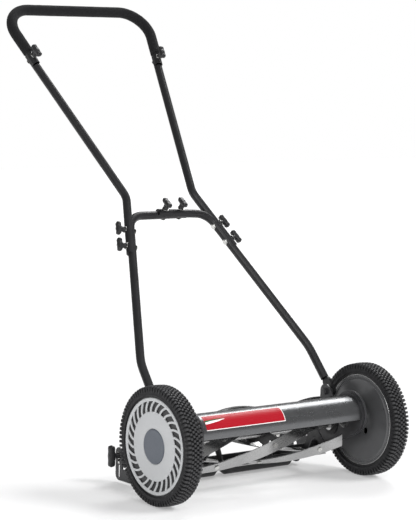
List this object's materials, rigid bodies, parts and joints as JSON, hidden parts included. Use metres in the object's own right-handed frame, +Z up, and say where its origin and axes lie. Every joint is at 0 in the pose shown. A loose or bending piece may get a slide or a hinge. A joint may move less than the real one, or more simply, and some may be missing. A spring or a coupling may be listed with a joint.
{
  "type": "reel mower",
  "caption": "Hand-pushed reel mower: wheel-geared helical blades over a bed knife, hooded front, rear roller and a clamped tube handle with a foam grip.",
  "frame": {"origin": "on the ground, at the centre of the bounding box's base", "axes": "+X to the mower's right-hand wheel along the axle, +Y from the reel towards the person pushing, +Z up"},
  "size_m": [0.606, 0.9174, 1.045],
  "materials": {
    "handle_paint": "black satin powder coat",
    "grip_foam": "closed-cell foam, matt black",
    "knob_plastic": "moulded black, fine texture",
    "tyre_rubber": "matt black with moulded tread",
    "wheel_plastic": "moulded black",
    "hubcap_plastic": "moulded light silver grey",
    "cap_plastic": "moulded blue grey",
    "frame_paint": "dark grey satin paint",
    "cover_paint": "dark satin paint, bright rolled rim",
    "shroud_paint": "mid grey metallic satin with a printed band",
    "blade_steel": "ground spring steel",
    "spider_paint": "black paint",
    "bright_steel": "bright turned steel",
    "zinc_plate": "bright zinc plate",
    "gear_steel": "dark oiled steel",
    "roller_plastic": "moulded black",
    "bearing_plastic": "moulded black"
  },
  "bodies": {
    "chassis": {"left_side_plate": "frame_paint", "right_side_plate": "frame_paint", "left_stub_axle": "bright_steel", "right_stub_axle": "bright_steel", "left_dust_cover": "cover_paint", "right_dust_cover": "cover_paint", "left_reel_bearing": "bearing_plastic", "right_reel_bearing": "bearing_plastic", "shroud": "shroud_paint", "bed_knife": "blade_steel", "cutter_bar": "frame_paint", "bed_knife_screws": "zinc_plate", "frame_bolts": "zinc_plate", "handle_pivot_bolts": "frame_paint", "wheel_clips": "zinc_plate"},
    "reel": {"reel_blade_1": "blade_steel", "reel_blade_2": "blade_steel", "reel_blade_3": "blade_steel", "reel_blade_4": "blade_steel", "reel_blade_5": "blade_steel", "reel_spider_1": "spider_paint", "reel_spider_2": "spider_paint", "reel_spider_3": "spider_paint", "reel_rivets": "zinc_plate", "reel_shaft": "bright_steel", "left_pinion": "gear_steel", "right_pinion": "gear_steel"},
    "handle": {"left_lower_tube": "handle_paint", "right_lower_tube": "handle_paint", "left_middle_tube": "handle_paint", "right_middle_tube": "handle_paint", "handle_loop": "handle_paint", "foam_grip": "grip_foam", "handle_bolts": "zinc_plate"},
    "carriage": {"left_roller_bracket": "frame_paint", "right_roller_bracket": "frame_paint", "roller_rod": "bright_steel"},
    "left_wheel": {"left_tyre": "tyre_rubber", "left_rim": "wheel_plastic", "left_ring_gear": "gear_steel", "left_hubcap": "hubcap_plastic", "left_centre_cap": "cap_plastic"},
    "left_roller_body": {"left_roller": "roller_plastic"},
    "right_wheel": {"right_tyre": "tyre_rubber", "right_rim": "wheel_plastic", "right_ring_gear": "gear_steel", "right_hubcap": "hubcap_plastic", "right_centre_cap": "cap_plastic"},
    "right_roller_body": {"right_roller": "roller_plastic"},
    "centre_knob_1_body": {"centre_knob_1": "knob_plastic"},
    "centre_knob_2_body": {"centre_knob_2": "knob_plastic"},
    "left_upper_side_knob_body": {"left_upper_side_knob": "knob_plastic"},
    "right_upper_side_knob_body": {"right_upper_side_knob": "knob_plastic"},
    "left_lower_side_knob_body": {"left_lower_side_knob": "knob_plastic"},
    "right_lower_side_knob_body": {"right_lower_side_knob": "knob_plastic"},
    "left_loop_knob_body": {"left_loop_knob": "knob_plastic"},
    "right_loop_knob_body": {"right_loop_knob": "knob_plastic"},
    "left_height_knob_body": {"left_height_knob": "knob_plastic"},
    "right_height_knob_body": {"right_height_knob": "knob_plastic"}
  },
  "joints": [
    {"name": "left_wheel_spin", "type": "hinge", "parent": "chassis", "child": "left_wheel", "pos_m": [0, -0.33171, 0.127], "axis": [1, 0, 0], "continuous": true},
    {"name": "right_wheel_spin", "type": "hinge", "parent": "chassis", "child": "right_wheel", "pos_m": [0, -0.33171, 0.127], "axis": [1, 0, 0], "continuous": true},
    {"name": "reel_spin", "type": "hinge", "parent": "chassis", "child": "reel", "pos_m": [0, -0.28611, 0.112], "axis": [1, 0, 0], "continuous": true},
    {"name": "handle_swing", "type": "hinge", "parent": "chassis", "child": "handle", "pos_m": [0, -0.26371, 0.1847], "axis": [1, 0, 0], "range_deg": [-40, 40]},
    {"name": "roller_height", "type": "slide", "parent": "chassis", "child": "carriage", "axis": [0, 0, 1], "range_m": [0, 0.03]},
    {"name": "left_roller_spin", "type": "hinge", "parent": "carriage", "child": "left_roller_body", "pos_m": [0, -0.15971, 0.018], "axis": [1, 0, 0], "continuous": true},
    {"name": "right_roller_spin", "type": "hinge", "parent": "carriage", "child": "right_roller_body", "pos_m": [0, -0.15971, 0.018], "axis": [1, 0, 0], "continuous": true},
    {"name": "centre_knob_1_turn", "type": "hinge", "parent": "handle", "child": "centre_knob_1_body", "pos_m": [-0.011, 0.04519, 0.57118], "axis": [0, -0.4493, 0.8934], "continuous": true},
    {"name": "centre_knob_2_turn", "type": "hinge", "parent": "handle", "child": "centre_knob_2_body", "pos_m": [0.033, 0.04519, 0.57118], "axis": [0, -0.4493, 0.8934], "continuous": true},
    {"name": "left_upper_side_knob_turn", "type": "hinge", "parent": "handle", "child": "left_upper_side_knob_body", "pos_m": [-0.11948, 0.0213, 0.538], "axis": [-0.9456, 0.203, 0.2542], "continuous": true},
    {"name": "left_lower_side_knob_turn", "type": "hinge", "parent": "handle", "child": "left_lower_side_knob_body", "pos_m": [-0.13423, -0.00547, 0.50448], "axis": [-0.9456, 0.203, 0.2542], "continuous": true},
    {"name": "left_loop_knob_turn", "type": "hinge", "parent": "handle", "child": "left_loop_knob_body", "pos_m": [-0.17976, 0.34813, 0.9183], "axis": [0, -0.749, 0.6626], "continuous": true},
    {"name": "right_upper_side_knob_turn", "type": "hinge", "parent": "handle", "child": "right_upper_side_knob_body", "pos_m": [0.11948, 0.01947, 0.54163], "axis": [0.9461, 0.1993, 0.2552], "continuous": true},
    {"name": "right_lower_side_knob_turn", "type": "hinge", "parent": "handle", "child": "right_lower_side_knob_body", "pos_m": [0.13423, -0.00706, 0.50765], "axis": [0.9461, 0.1993, 0.2552], "continuous": true},
    {"name": "right_loop_knob_turn", "type": "hinge", "parent": "handle", "child": "right_loop_knob_body", "pos_m": [0.17976, 0.34813, 0.9183], "axis": [0, -0.749, 0.6626], "continuous": true},
    {"name": "left_height_knob_turn", "type": "hinge", "parent": "chassis", "child": "left_height_knob_body", "pos_m": [-0.226, -0.10171, 0.06], "axis": [-1, 0, 0], "continuous": true},
    {"name": "right_height_knob_turn", "type": "hinge", "parent": "chassis", "child": "right_height_knob_body", "pos_m": [0.226, -0.10171, 0.06], "axis": [1, 0, 0], "continuous": true}
  ],
  "couplings": [
    {"joint": "reel_spin", "follows": "left_wheel_spin", "ratio": 5},
    {"joint": "right_wheel_spin", "follows": "left_wheel_spin", "ratio": 1}
  ]
}
